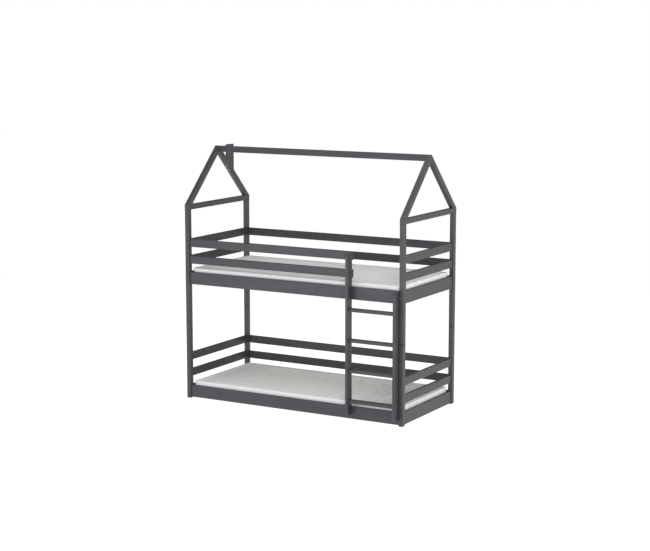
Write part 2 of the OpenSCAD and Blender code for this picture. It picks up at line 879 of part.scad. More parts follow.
module ladder_screws() {
  color("silver") {
    for (z = stile_screw_heights(true)) at_stile_screw(left_stile_x, z) frame_screw();
    for (z = stile_screw_heights(false)) at_stile_screw(right_stile_x, z) frame_screw();
  }
}

module roof_screws() {
  color("silver") {
    for (side_x = [-1, 1], side_y = [-1, 1]) {
      at_toe_screw(side_x, side_y) translate([0, 0, cap_t]) frame_screw();
      at_ridge_screw(side_x, side_y) translate([0, 0, cap_t]) frame_screw();
      at_tie_joint(side_x, side_y, 1, eave_z) mirror([0, 0, 1]) frame_screw();
    }
    for (index = [0, 1]) at_chimney_screw(index) frame_screw();
  }
}

module cleat_screws() {
  color("silver")
    for (side_y = [-1, 1], level = [0, 1])
      at_cleat_screws(side_y, level)
        wood_screw(cleat_screw_d, cleat_screw_length, cleat_screw_head_d, cleat_screw_head_h);
}

// Shares and insets that shape a mattress: the places x and y are measured from its middle
function end_fall(x) = 1 - pow(abs(x) / (mattress_length / 2), 6);
function side_fall(y) = 1 - pow(abs(y) / (mattress_width / 2), 6);
function round_inset(radius, run) =
  run < radius ? radius - sqrt(radius * radius - pow(radius - run, 2)) : 0;
function end_run(x) = mattress_length / 2 - abs(x);
function plan_inset(x) = round_inset(corner_round, end_run(x)) + side_draw * end_fall(x);
function height_inset(x) = round_inset(edge_round, end_run(x));

// A point on one side of the ring at x, at a share of the side's height
function side_point(x, way, share) = [
  x,
  way * (mattress_width / 2 - plan_inset(x)),
  height_inset(x) + share * (mattress_thickness - mattress_crown - 2 * height_inset(x))
];

// A point of the bottom, where the rounded lower edge ends
function base_point(x, way) = [
  x,
  way * (mattress_width / 2 - plan_inset(x) - edge_round),
  height_inset(x)
];

// A point of the quilted top: a channel lies lower than the crests on both its sides
function top_point(x, index, low) =
  let (
    reach = mattress_width / 2 - plan_inset(x) - edge_round,
    y = reach * (2 * index / (top_points - 1) - 1),
    swell = end_fall(x) * side_fall(y),
    swing = quilt_swing * sin(quilt_waves * 360 * y / mattress_width)
  )
  [
    x + swing * swell,
    y,
    mattress_thickness - mattress_crown - height_inset(x)
      + (mattress_crown - (low ? quilt_depth : 0)) * swell
  ];

// One ring round the mattress, across the bed
function ring(x, low) = concat(
  [base_point(x, -1)],
  [for (share = side_height_shares) side_point(x, -1, share)],
  [for (index = [0 : top_points - 1]) top_point(x, index, low)],
  [for (share = side_height_shares) side_point(x, 1, 1 - share)],
  [base_point(x, 1)]
);

// The rings stand on every channel and every crest, and closer together at the rounded ends
module mattress(level) {
  half = mattress_length / 2;
  step = (half - corner_round) / quilt_channels;
  loops = concat(
    [for (share = corner_run_shares) ring(share * corner_round - half, false)],
    [for (index = [-quilt_channels : quilt_channels]) ring(index * step, index % 2 != 0)],
    [for (index = [2 : -1 : 0]) ring(half - corner_run_shares[index] * corner_round, false)]
  );
  size = len(loops[0]);
  last = len(loops) - 1;
  points = [for (loop = loops, point = loop) point];
  sides = [
    for (row = [0 : last - 1], column = [0 : size - 1])
      let (
        a = row * size + column,
        b = row * size + (column + 1) % size
      )
      each [[a, b, a + size], [b, b + size, a + size]]
  ];
  start_cap = [for (column = [1 : size - 2]) [0, column + 1, column]];
  end_cap = [
    for (column = [1 : size - 2])
      [last * size, last * size + column, last * size + column + 1]
  ];
  color("#d6d8d9")
    translate([0, middle_y, slat_top(level) + tape_t + soft_gap])
      polyhedron(points = points, faces = concat(sides, start_cap, end_cap));
}

lower_post(-1, -1);  // lower_post_front_left
lower_post(1, -1);  // lower_post_front_right
lower_post(-1, 1);  // lower_post_rear_left
lower_post(1, 1);  // lower_post_rear_right
upper_post(-1, -1);  // upper_post_front_left
upper_post(1, -1);  // upper_post_front_right
upper_post(-1, 1);  // upper_post_rear_left
upper_post(1, 1);  // upper_post_rear_right
side_rail(-1, 0);  // lower_front_rail
side_rail(1, 0);  // lower_rear_rail
end_rail(-1, 0);  // lower_left_rail
end_rail(1, 0);  // lower_right_rail
side_rail(-1, 1);  // upper_front_rail
side_rail(1, 1);  // upper_rear_rail
end_rail(-1, 1);  // upper_left_rail
end_rail(1, 1);  // upper_right_rail
rear_guard(0, 1);  // lower_rear_guard_1
rear_guard(0, 2);  // lower_rear_guard_2
end_guard(-1, 0, 1);  // lower_left_guard_1
end_guard(-1, 0, 2);  // lower_left_guard_2
end_guard(1, 0, 1);  // lower_right_guard_1
end_guard(1, 0, 2);  // lower_right_guard_2
front_guard(1);  // upper_front_guard_1
front_guard(2);  // upper_front_guard_2
rear_guard(1, 1);  // upper_rear_guard_1
rear_guard(1, 2);  // upper_rear_guard_2
end_guard(-1, 1, 1);  // upper_left_guard_1
end_guard(-1, 1, 2);  // upper_left_guard_2
end_guard(1, 1, 1);  // upper_right_guard_1
end_guard(1, 1, 2);  // upper_right_guard_2
stile(left_stile_x, guard_top, 1, true);  // ladder_left_stile
stile(right_stile_x, upper_rail_top, -1, false);  // ladder_right_stile
rung(0);  // ladder_rung_1
rung(1);  // ladder_rung_2
rung(2);  // ladder_rung_3
rung(3);  // ladder_rung_4
rafter(-1, -1);  // left_front_rafter
rafter(-1, 1);  // left_rear_rafter
rafter(1, -1);  // right_front_rafter
rafter(1, 1);  // right_rear_rafter
ridge_beam();
tie_beam(-1);  // left_tie_beam
tie_beam(1);  // right_tie_beam
chimney();
cleats(0);  // lower_cleats
cleats(1);  // upper_cleats
slats(0);  // lower_slats
slats(1);  // upper_slats
slat_tapes();
mattress(0);  // lower_mattress
mattress(1);  // upper_mattress
post_pins();
rail_bolts();
barrel_nuts();
screw_caps();
wood_dowels();
guard_screws();
ladder_screws();
roof_screws();
cleat_screws();
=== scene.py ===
# %% [markdown]
# # A house-shaped bunk bed
# The imported model gives every board, bolt and slat at its real place. This lesson adds what a
# drawing of solids lacks: lacquer with wood grain under it, quilted mattresses, webbing, light and
# a camera. We start by loading the model, which stays where it is.

# %% Load the frame
import json
import math

import bmesh
import bpy
import numpy as np
from mathutils import Euler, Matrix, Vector, noise


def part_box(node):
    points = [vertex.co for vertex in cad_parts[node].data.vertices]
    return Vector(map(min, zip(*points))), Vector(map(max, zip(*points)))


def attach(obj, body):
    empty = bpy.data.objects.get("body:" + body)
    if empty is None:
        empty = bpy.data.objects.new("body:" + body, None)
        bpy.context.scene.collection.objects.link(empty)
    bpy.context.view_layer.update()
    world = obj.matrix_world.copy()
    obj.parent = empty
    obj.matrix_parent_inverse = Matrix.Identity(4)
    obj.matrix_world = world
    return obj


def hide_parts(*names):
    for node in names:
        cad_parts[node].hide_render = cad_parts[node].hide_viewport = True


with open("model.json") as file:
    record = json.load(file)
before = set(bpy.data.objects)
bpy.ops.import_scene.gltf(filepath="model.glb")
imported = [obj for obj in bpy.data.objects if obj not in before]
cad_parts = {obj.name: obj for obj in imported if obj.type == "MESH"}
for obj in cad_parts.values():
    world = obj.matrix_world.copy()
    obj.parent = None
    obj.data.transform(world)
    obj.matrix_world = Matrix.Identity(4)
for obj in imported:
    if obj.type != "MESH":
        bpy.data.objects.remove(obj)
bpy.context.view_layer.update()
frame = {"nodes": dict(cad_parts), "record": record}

scene = bpy.context.scene
nodes = frame["nodes"]

# %% [markdown]
# ## The camera
# The photograph was taken from the front right, a little above the roof, with a long lens. The
# place, turn and tilt below were fitted to the corners of posts, roof and ladder. A tilted camera
# is used in place of a shifted lens, so that other views of the scene stay in the middle.

# %% Camera
photo_width = 650
sensor_width = 36
focal_length_in_pixels = 1587.07
farthest_seen = 200
camera_place = Vector((6.0051, -10.3159, 2.8426))
camera_turn = 0.5225
camera_tilt_down = 0.1548

lens = bpy.data.cameras.new("camera")
lens.sensor_width = sensor_width
lens.lens = sensor_width * focal_length_in_pixels / photo_width
lens.clip_end = farthest_seen
camera = bpy.data.objects.new("camera", lens)
camera.location = camera_place
camera.rotation_euler = Euler((math.pi / 2 - camera_tilt_down, 0, camera_turn))
scene.collection.objects.link(camera)
scene.camera = camera
print("lens", round(lens.lens, 2), "mm")

# %% [markdown]
# ## Sums with wires
# A material is a tree of nodes, and a sum would need a Math node for each sign. That is
# long-winded, so a wire wraps a node's output and lets sums be written as in Python:
# `1 - mask * 0.5` adds its Math nodes by itself.

# %% Wires
class Wire:
    """The output of a node, which can be used in sums."""

    def __init__(self, bench, socket):
        self.bench = bench
        self.socket = socket

    def maths(self, operation, *values):
        numbered = dict(enumerate(values))
        return self.bench.node("Math", {"operation": operation}, numbered)

    def __add__(self, other):
        return self.maths("ADD", self, other)

    __radd__ = __add__

    def __sub__(self, other):
        return self.maths("SUBTRACT", self, other)

    def __rsub__(self, other):
        return self.maths("SUBTRACT", other, self)

    def __mul__(self, other):
        return self.maths("MULTIPLY", self, other)

    __rmul__ = __mul__

    def __truediv__(self, other):
        return self.maths("DIVIDE", self, other)

    def __pow__(self, other):
        return self.maths("POWER", self, other)

    def __abs__(self):
        return self.maths("ABSOLUTE", self)

    def fract(self):
        return self.maths("FRACT", self)

    def sine(self):
        return self.maths("SINE", self)

    def between(self, low, high):
        """0 up to low, 1 from high, smooth in between. low may be the larger."""
        sockets = {"Value": self, "From Min": low, "From Max": high}
        return self.bench.node("MapRange", {"interpolation_type": "SMOOTHSTEP"}, sockets)


print("wires ready")

# %% [markdown]
# ## A bench for materials
# A bench holds one material and its tree. It adds any node with one method, which takes the
# node's type, its settings and what goes into its sockets. The short methods below it stand for
# the nodes that every material here needs, so that each finish fits on half a page.

# %% Bench
class Bench:
    """One material and its node tree."""

    def __init__(self, name):
        self.material = bpy.data.materials.new(name)
        self.material.use_nodes = True
        self.tree = self.material.node_tree
        self.shader = self.tree.nodes["Principled BSDF"]

    def node(self, kind, settings, sockets, output=0):
        """Adds a node: its settings first, then the values or wires of its sockets."""
        made = self.tree.nodes.new("ShaderNode" + kind)
        for name, value in settings.items():
            setattr(made, name, value)
        for key, value in sockets.items():
            self.join(made.inputs[key], value)
        return Wire(self, made.outputs[output])

    def join(self, socket, value):
        if isinstance(value, Wire):
            self.tree.links.new(value.socket, socket)
        else:
            socket.default_value = value

    def finish(self, **sockets):
        """Sets the shader's sockets: base_color stands for Base Color, and so on."""
        for key, value in sockets.items():
            title = key.replace("_", " ").title().replace("Ior", "IOR")
            self.join(self.shader.inputs[title], value)
        return self.material

    def place(self):
        return self.node("TexCoord", {}, {}, output="Object")

    def axes(self, vector):
        split = self.node("SeparateXYZ", {}, {0: vector}).socket.node
        return [Wire(self, out) for out in split.outputs]

    def scaled(self, vector, factors):
        return self.node("VectorMath", {"operation": "MULTIPLY"}, {0: vector, 1: factors})

    def mixed(self, factor, first, second):
        sockets = {"Factor": factor, 6: first, 7: second}
        return self.node("Mix", {"data_type": "RGBA"}, sockets, output=2)

    def specks(self, vector, scale, detail=3, roughness=0.55):
        sockets = {"Vector": vector, "Scale": scale, "Detail": detail, "Roughness": roughness}
        return self.node("TexNoise", {}, sockets)

    def bump(self, height, distance, strength=1.0, under=None):
        sockets = {"Height": height, "Distance": distance, "Strength": strength}
        if under:
            sockets["Normal"] = under
        return self.node("Bump", {}, sockets)


print("bench ready")

# %% [markdown]
# ## Softwood
# Every board is planed pine, cut from a trunk. A year's ring is pale early wood that darkens into
# late wood and stops at a sharp line, so a ring is a ramp that starts again at each whole number.
# The rings wander slowly along the board, which gives the pointed arches of a sawn plank. Fine
# fibres run along it, and now and then there is a knot. The pattern fills space, so a cut end
# shows it end-on, as real end grain does. It serves twice: faint under the dark lacquer, and plain
# to see on the bare slats.

# %% Grain of a board
# How often each pattern repeats per metre, across the board and along it.
fibre_counts = (260.0, 4.0)
wander_counts = (9.0, 1.1)
knot_counts = (9.0, 1.7)
mottle_counts = (22.0, 5.0)
rings_per_metre = 120.0
ring_wander = 5.0
rings_pushed_by_knot = 0.8
knot_rim = 0.15
knot_core = 0.06
late_wood_starts = 0.30
late_wood_full = 0.90
ring_line = 0.92
across_of = {"x": Vector((0, 0.35, 1)), "y": Vector((0.8, 0, 1)), "z": Vector((1, 0.8, 0))}


def stretched(bench, place, direction, counts):
    """Squeezes space across the board and stretches it along the board."""
    across, along = counts
    factors = tuple(along if axis == direction else across for axis in "xyz")
    return bench.scaled(place, factors)


def board_grain(bench, direction, slope):
    """Returns the fibres, the late wood of the rings, the mottling and the knots of a board."""
    place = bench.place()
    if slope:
        turn = {"Vector": place, "Angle": slope}
        place = bench.node("VectorRotate", {"rotation_type": "X_AXIS"}, turn)
    cells = {"Vector": stretched(bench, place, direction, knot_counts), "Scale": 1.0}
    knots = bench.node("TexVoronoi", {"feature": "F1"}, cells).between(knot_rim, knot_core)
    wander = bench.specks(stretched(bench, place, direction, wander_counts), 1.0, detail=2)
    factors = {0: place, 1: across_of[direction]}
    depth = bench.node("VectorMath", {"operation": "DOT_PRODUCT"}, factors, output=1)
    rings = depth * rings_per_metre + wander * ring_wander + knots * rings_pushed_by_knot
    ramp = rings.fract()
    late_wood = ramp.between(late_wood_starts, late_wood_full) * ramp.between(1.0, ring_line)
    fibres = bench.specks(stretched(bench, place, direction, fibre_counts), 1.0, detail=3)
    mottling = bench.specks(stretched(bench, place, direction, mottle_counts), 1.0, detail=2)
    return fibres, late_wood, mottling, knots


print("grain for boards along", ", ".join(across_of))

# %% [markdown]
# ## Dark grey lacquer
# The lacquer is a satin dark grey, slightly bluish on the long boards, that fills the grain almost
# to the top. It keeps a trace of the streaks in its tone, its gloss and its relief. One material
# is made for each way that a board can lie, because the grain follows the board, and each has the
# slightly different tint of its batch. The posts get one of their own, with painted shade: a thin
# dark band is painted where the two halves of a post meet, in place of the shadow in the groove.

# %% Lacquer
lacquer_deep = (0.0343, 0.0351, 0.0382, 1)
lacquer_high = (0.0556, 0.0568, 0.0620, 1)
# Colour of the painted shade along the posts' joint.
painted_joint_shade_colour = (0.0100, 0.0103, 0.0112, 1)
batch_tint = {"x": (1.0, 1.0, 1.035, 1), "y": (1.0, 1.025, 0.97, 1), "z": (1.0, 1.0, 1.0, 1)}
# How far the painted joint shade reaches from the joint, and how soft its edge is.
joint_shade_reach = 0.0026
joint_shade_blur = 0.0005
orange_peel_count = 420.0
lacquer_roughness = 0.46
lacquer_gloss = 0.4
lacquer_relief = 0.0005


def tinted(colour, tint):
    return tuple(a * b for a, b in zip(colour, tint))


def make_lacquer(name, direction, slope=0.0, joint_height=None):
    bench = Bench(name)
    fibres, late_wood, mottling, knots = board_grain(bench, direction, slope)
    tone = 0.40 * fibres + 0.45 * mottling - 0.16 * late_wood - 0.10 * knots + 0.10
    deep = tinted(lacquer_deep, batch_tint[direction])
    high = tinted(lacquer_high, batch_tint[direction])
    colour = bench.mixed(tone.between(0.20, 0.80), deep, high)
    # Painted shade: a thin band round the post's joint is darkened in place of the shadow in its
    # groove.
    if joint_height is not None:
        height = bench.axes(bench.place())[2]
        painted_joint_shade = abs(height - joint_height).between(joint_shade_reach + joint_shade_blur, joint_shade_reach)
        colour = bench.mixed(painted_joint_shade, colour, painted_joint_shade_colour)
    orange_peel = bench.specks(bench.place(), orange_peel_count, detail=2)
    relief = fibres * 0.6 + late_wood * 0.35 + orange_peel * 0.10 + knots * 0.3
    return bench.finish(
        base_color=colour,
        roughness=lacquer_roughness + (fibres - 0.5) * 0.16 - late_wood * 0.05,
        specular_ior_level=lacquer_gloss,
        normal=bench.bump(relief, lacquer_relief, 0.6),
    )


roof_slope = math.pi / 4
post_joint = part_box("lower_post_front_left")[1].z
lacquers = {direction: make_lacquer("lacquer_along_" + direction, direction) for direction in "xyz"}
lacquers["front_slope"] = make_lacquer("lacquer_front_slope", "y", -roof_slope)
lacquers["rear_slope"] = make_lacquer("lacquer_rear_slope", "y", roof_slope)
lacquers["post"] = make_lacquer("lacquer_post", "z", joint_height=post_joint)
print("lacquers:", ", ".join(lacquers))

# %% [markdown]
# ## Bare pine
# The slats and the dowels have no lacquer: they show yellow early wood, browner late wood and
# darker knots, and are rougher than the lacquered boards. A picture of a plank would have to be
# wrapped round every slat and would look pasted on at the ends, so the same solid grain is used
# again, with other colours.

# %% Bare pine
pine_pale = (0.66, 0.53, 0.37, 1)
pine_brown = (0.49, 0.33, 0.19, 1)
pine_knot = (0.22, 0.11, 0.05, 1)
pine_roughness = 0.62
pine_relief = 0.0004


def make_pine(name, direction):
    bench = Bench(name)
    fibres, late_wood, mottling, knots = board_grain(bench, direction, 0.0)
    streaks = fibres.between(0.40, 0.75)
    clouds = mottling.between(0.4, 0.8)
    wood = bench.mixed(late_wood * 0.62 + streaks * 0.22 + clouds * 0.16, pine_pale, pine_brown)
    return bench.finish(
        base_color=bench.mixed(knots * 0.85, wood, pine_knot),
        roughness=pine_roughness + (fibres - 0.5) * 0.2,
        normal=bench.bump(fibres + late_wood * 0.5 + knots * 0.4, pine_relief, 0.7),
    )


pines = {direction: make_pine("pine_along_" + direction, direction) for direction in "xy"}
print("pines:", ", ".join(pines))

# %% [markdown]
# ## Steel and caps
# Bolts, pins, nuts and screws are zinc plated, with the fine turning marks of a lathe and small
# dull patches. The flush caps are moulded plastic in the lacquer's colour, with a leathery pebble.
# Marks this small would take millions of faces, so they are bumps alone.

# %% Steel and caps
zinc_dull = (0.60, 0.61, 0.62, 1)
zinc_bright = (0.74, 0.75, 0.76, 1)
zinc_roughness = 0.24
patch_count = 160.0
turning_marks = (1500, 1500, 1500)
turning_relief = 0.00006
cap_dark = (0.036, 0.037, 0.040, 1)
cap_light = (0.052, 0.053, 0.057, 1)
cap_roughness = 0.46
cap_cloud_count = 90.0
pebble_count = 1400.0
pebble_relief = 0.0001


def make_zinc():
    bench = Bench("zinc_plated_steel")
    place = bench.place()
    patches = bench.specks(place, patch_count, detail=4)
    turning = bench.specks(bench.scaled(place, turning_marks), 1.0, detail=1)
    return bench.finish(
        base_color=bench.mixed(patches.between(0.35, 0.7), zinc_dull, zinc_bright),
        metallic=1.0,
        roughness=zinc_roughness + patches * 0.2,
        normal=bench.bump(turning, turning_relief, 0.5),
    )


def make_cap_plastic():
    bench = Bench("cap_plastic")
    pebble = bench.node("TexVoronoi", {}, {"Vector": bench.place(), "Scale": pebble_count})
    cloud = bench.specks(bench.place(), cap_cloud_count)
    return bench.finish(
        base_color=bench.mixed(cloud, cap_dark, cap_light),
        roughness=cap_roughness + (cloud - 0.5) * 0.1,
        normal=bench.bump(pebble, pebble_relief, 0.4),
    )


zinc = make_zinc()
cap_plastic = make_cap_plastic()
print("made", zinc.name, "and", cap_plastic.name)

# %% [markdown]
# ## Which board gets which finish
# The frame's own record says what each node is made of. A board's longest side tells which way
# its grain runs. Three kinds need a rule of their own: the rafters, whose grain climbs the roof,
# the posts, for the painted shade along their joint line, and the slats, which lie across the bed
# though the set of them is longer than it is wide.

# %% Finish the nodes
slot_of = {entry["node"]: entry["material_slot"] for entry in frame["record"]["subparts"]}


def long_way(name):
    low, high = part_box(name)
    size = high - low
    return "xyz"[max(range(3), key=lambda axis: size[axis])]


def finish_for(name):
    slot = slot_of[name]
    if name.endswith("rafter"):
        return lacquers["front_slope" if "front" in name else "rear_slope"]
    if "_post_" in name:
        return lacquers["post"]
    if name in ("lower_slats", "upper_slats"):
        return pines["y"]
    if slot == "bare_wood":
        return pines["x"]
    if slot == "zinc_plated_steel":
        return zinc
    if slot == "cap_plastic":
        return cap_plastic
    return lacquers[long_way(name)]


for name, node in nodes.items():
    finish = finish_for(name)
    if not node.material_slots:
        node.data.materials.append(finish)
    for holder in node.material_slots:
        holder.material = finish
print("finished", len(nodes), "nodes")

# %% [markdown]
# ## The shape of a mattress
# Each mattress is a slab of foam in a quilted cover: rounded corners, sides that draw in a little
# between them, a low crown, and wavy channels sewn across the top. We lay the top out as a grid
# whose columns follow the channels, so that each seam is a column of the mesh. A plain sculpted
# box would have to guess where the seams are. The sides are drawn in a little even at their
# widest, near the corners, so the outline starts with some room outside the solid's box.

# %% Measures of a mattress
low_corner, high_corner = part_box("lower_mattress")
side_draw = 0.004
side_room = side_draw / 10
mattress_middle_y = (low_corner.y + high_corner.y) / 2
half_length = (high_corner.x - low_corner.x) / 2
half_width = (high_corner.y - low_corner.y) / 2 + side_room
mattress_height = high_corner.z - low_corner.z
crown = 0.006
corner_round = 0.030
edge_round = 0.008
inner_round = corner_round - edge_round
straight_half = half_length - corner_round
fall_power = 6.0


def end_fall(x):
    """1 in the middle of the length and 0 at the ends."""
    return 1 - (abs(x) / half_length) ** fall_power


def side_fall(y):
    """1 in the middle of the width and 0 at the sides."""
    return 1 - min(1, abs(y) / half_width) ** fall_power


def top_half_width(x):
    """Half the top's width at x, inside the rounded edge."""
    run = half_length - edge_round - abs(x)
    lost = 0
    if run < inner_round:
        lost = inner_round - math.sqrt(max(0, inner_round ** 2 - (inner_round - run) ** 2))
    return half_width - edge_round - lost - side_draw * end_fall(x)


measures = (2 * half_length, 2 * half_width, mattress_height)
print("mattress", " x ".join(str(round(size, 3)) for size in measures), "m")

# %% [markdown]
# ## The grid of the top
# A channel is an arch between two seams. Columns stand four to a half channel and crowd together
# in the rounded corners, where the outline turns. Every column swings sideways with its channel
# and calms down near the edges. The sag is largest on the seams, where it makes a crease.

# %% Lay out the grid
channel_count = 23
channel_swing = 0.0048
channel_waves = 8
seam_depth = 0.0066
crest_step = straight_half / channel_count
channel_pitch = 2 * crest_step
steps_per_crest = 4
corner_steps = 5
row_count = 72
column_steps = channel_count * steps_per_crest
columns = [index * crest_step / steps_per_crest for index in range(-column_steps, column_steps + 1)]
corner_columns = [
    straight_half + inner_round * math.sin(step * math.pi / 2 / corner_steps)
    for step in range(1, corner_steps + 1)
]
columns = [-x for x in reversed(corner_columns)] + columns + corner_columns


def crests_from_middle(column):
    return (column - (len(columns) - 1) // 2) / steps_per_crest


def is_seam(column):
    """Seams lie half way between two crests, so on the odd steps from the middle."""
    crests = crests_from_middle(column)
    return crests == int(crests) and int(crests) % 2 == 1 and abs(crests) < channel_count


def channel_sag(column):
    """0 on a crest and 1 on a seam. Each channel is an arch, so the seam is a crease."""
    crests = abs(crests_from_middle(column))
    if crests > channel_count - 1:
        return 0
    nearest_crest = 2 * round(crests / 2)
    return (crests - nearest_crest) ** 2


def row_y(x, row):
    return top_half_width(x) * (2 * row / row_count - 1)


def top_point(column, row):
    x = columns[column]
    y = row_y(x, row)
    swell = end_fall(x) * side_fall(y)
    swing = channel_swing * math.sin(channel_waves * math.pi * y / half_width)
    rise = mattress_height - crown + (crown - seam_depth * channel_sag(column)) * swell
    return Vector((x + swing * swell, y, rise))


seam_count = sum(is_seam(column) for column in range(len(columns)))
print(len(columns), "columns,", row_count + 1, "rows,", seam_count, "seams")

# %% [markdown]
# ## A sheet to be quilted
# A quilted cover is sewn flat and then swells between its seams. The sheet is the grid as a mesh,
# with a faint ripple so that the cloth has somewhere to buckle. Its seams and its rim are pinned,
# as the thread and the border hold them on the real cover.

# %% Sheet and pins
points_per_column = row_count + 1
start_ripple = 0.0003
ripple_count = 90


def sheet_of_top():
    mesh = bpy.data.meshes.new("quilt_sheet")
    points = [top_point(column, row) for column in range(len(columns)) for row in range(row_count + 1)]
    for point in points:
        swell = end_fall(point.x) * side_fall(point.y)
        point.z += start_ripple * swell * noise.noise(point * ripple_count)
    faces = []
    for column in range(len(columns) - 1):
        for row in range(row_count):
            first = column * points_per_column + row
            after = first + points_per_column
            faces.append((first, after, after + 1, first + 1))
    mesh.from_pydata(points, [], faces)
    return mesh


def pinned_points():
    pinned = []
    for column in range(len(columns)):
        at_end = column < corner_steps + 1 or column > len(columns) - corner_steps - 2
        for row in range(row_count + 1):
            at_side = row in (0, row_count)
            if at_end or at_side or is_seam(column):
                pinned.append(column * points_per_column + row)
    return pinned


print("pinned", len(pinned_points()), "of", len(columns) * points_per_column, "points")

# %% [markdown]
# ## Quilting by cloth simulation
# Small puckers form along each thread, because the cloth there has more length than the seam. We
# let the sheet do the same: it is cut a little too large, and a gentle pressure lifts it. Its
# moves are capped, so that it stays inside the mattress's box. A formula would give even ribs, and
# the puckers are what makes it look sewn.

# %% Simulate the quilt
pressure = 5.0
extra_cloth = 0.004
cloth_mass = 0.25
cloth_bending = 0.4
cloth_quality = 4
simulation_frames = 16
most_lift = 0.0065
most_shift = 0.003


def swell_by_pressure(sheet):
    group = sheet.vertex_groups.new(name="sewn")
    group.add(pinned_points(), 1.0, "REPLACE")
    cloth = sheet.modifiers.new("cloth", "CLOTH")
    cloth.settings.vertex_group_mass = "sewn"
    cloth.settings.quality = cloth_quality
    cloth.settings.mass = cloth_mass
    cloth.settings.use_pressure = True
    cloth.settings.uniform_pressure_force = pressure
    cloth.settings.shrink_min = -extra_cloth
    cloth.settings.bending_stiffness = cloth_bending
    cloth.settings.effector_weights.gravity = 0
    for number in range(1, simulation_frames + 1):
        scene.frame_set(number)
    swollen = sheet.evaluated_get(bpy.context.evaluated_depsgraph_get())
    points = np.array([point.co for point in swollen.data.vertices])
    scene.frame_set(1)
    return points


def quilted_top():
    """Returns the points of the top after the cloth has swollen, and how far each has moved."""
    sheet = bpy.data.objects.new("quilt_sheet", sheet_of_top())
    scene.collection.objects.link(sheet)
    before = np.array([point.co for point in sheet.data.vertices])
    after = swell_by_pressure(sheet)
    moved = after - before
    moved[:, :2] = moved[:, :2].clip(-most_shift, most_shift)
    moved[:, 2] = moved[:, 2].clip(-most_shift, most_lift)
    bpy.data.objects.remove(sheet)
    return before + moved, moved


top_points, top_moves = quilted_top()
print("quilt lifted by up to", round(1000 * top_moves[:, 2].max(), 1), "mm")

# %% [markdown]
# ## Closing the mattress
# The sides are rings round the top's rim. Each ring steps outwards over the rounded edge, down
# the border, which draws in slightly half way, and back in under the bottom edge. So we need the
# step and height of each ring, the rim's places in the grid, and which way is out at each place.

# %% Rings of the border
edge_levels = 5
border_levels = 6
border_bow = 0.0025


def border_profile():
    """(outward step, height) of each ring, from under the top's rim to the bottom's rim."""
    top = mattress_height - crown
    rings = []
    for level in range(1, edge_levels + 1):
        angle = level * math.pi / 2 / edge_levels
        rings.append((edge_round * math.sin(angle), top - edge_round * (1 - math.cos(angle))))
    wall_top = top - edge_round
    wall_low = edge_round
    for level in range(1, border_levels):
        share = level / border_levels
        bow = border_bow * math.sin(share * math.pi)
        rings.append((edge_round - bow, wall_top + (wall_low - wall_top) * share))
    for level in range(edge_levels + 1):
        angle = level * math.pi / 2 / edge_levels
        rings.append((edge_round * math.cos(angle), edge_round * (1 - math.sin(angle))))
    return rings


def rim_columns_and_rows():
    """The grid places round the rim, anticlockwise seen from above, starting at the left front."""
    last = len(columns) - 1
    front = [(column, 0) for column in range(last)]
    right = [(last, row) for row in range(row_count)]
    rear = [(column, row_count) for column in range(last, 0, -1)]
    left = [(0, row) for row in range(row_count, 0, -1)]
    return front + right + rear + left


def rim_normal(column, row):
    x = columns[column]
    y = row_y(x, row)
    if column in (0, len(columns) - 1) and 0 < row < row_count:
        return Vector((math.copysign(1, x), 0, 0))
    along = abs(x) - straight_half
    if along <= 0:
        return Vector((0, math.copysign(1, y), 0))
    across = max(abs(y) - (half_width - corner_round), 0)
    return Vector((math.copysign(along, x), math.copysign(across, y), 0)).normalized()


print(len(border_profile()), "rings of", len(rim_columns_and_rows()), "points")

# %% [markdown]
# ## From rings to a mesh
# The top, the rings and a flat bottom are joined into one closed mesh. The border is one strip of
# knitted cloth pulled over foam, so noise gives it shallow upright creases, which fade at its top
# and bottom edge. The upper mattress uses the same points turned half a turn.

# %% Build the mattress mesh
border_crease = 0.0009
crease_counts = Vector((14, 14, 5))
wrinkle_counts = Vector((55, 55, 16))
wrinkle_share = 0.4


def turned_round(turned):
    """Factors that turn a point half a turn about the mattress's upright axis, or leave it."""
    return Vector((-1, -1, 1)) if turned else Vector((1, 1, 1))


def join_loops(mesh, first, second):
    """Faces between two closed loops of points."""
    for i in range(len(first)):
        j = (i + 1) % len(first)
        mesh.faces.new((first[i], second[i], second[j], first[j]))


def to_data(mesh, name, smooth):
    for face in mesh.faces:
        face.smooth = smooth
    data = bpy.data.meshes.new(name)
    mesh.to_mesh(data)
    mesh.free()
    return data


def border_place(column, row, step, height):
    """A point of the border, pushed in or out by its creases."""
    out = rim_normal(column, row)
    place = Vector(top_points[column * points_per_column + row]) + out * step
    place.z = height
    crease = noise.noise(place * crease_counts)
    wrinkle = noise.noise(place * wrinkle_counts)
    calm = math.sin(min(1, height / mattress_height) * math.pi)
    return place + out * border_crease * (crease + wrinkle_share * wrinkle) * calm


def mattress_mesh(name, turned):
    mesh = bmesh.new()
    spin = turned_round(turned)
    top = [mesh.verts.new(Vector(point) * spin) for point in top_points]
    bottom = [
        mesh.verts.new(Vector((columns[index // points_per_column], point[1], 0)) * spin)
        for index, point in enumerate(top_points)
    ]
    for column in range(len(columns) - 1):
        for row in range(row_count):
            a = column * points_per_column + row
            b = a + points_per_column
            mesh.faces.new((top[a], top[b], top[b + 1], top[a + 1]))
            mesh.faces.new((bottom[a], bottom[a + 1], bottom[b + 1], bottom[b]))
    rim = rim_columns_and_rows()
    loops = [[top[column * points_per_column + row] for column, row in rim]]
    for step, height in border_profile()[:-1]:
        loops.append([
            mesh.verts.new(border_place(column, row, step, height) * spin) for column, row in rim
        ])
    loops.append([bottom[column * points_per_column + row] for column, row in rim])
    for upper, lower in zip(loops, loops[1:]):
        join_loops(mesh, upper, lower)
    mesh.normal_update()
    return to_data(mesh, name, smooth=True)


print("mattress mesh ready")
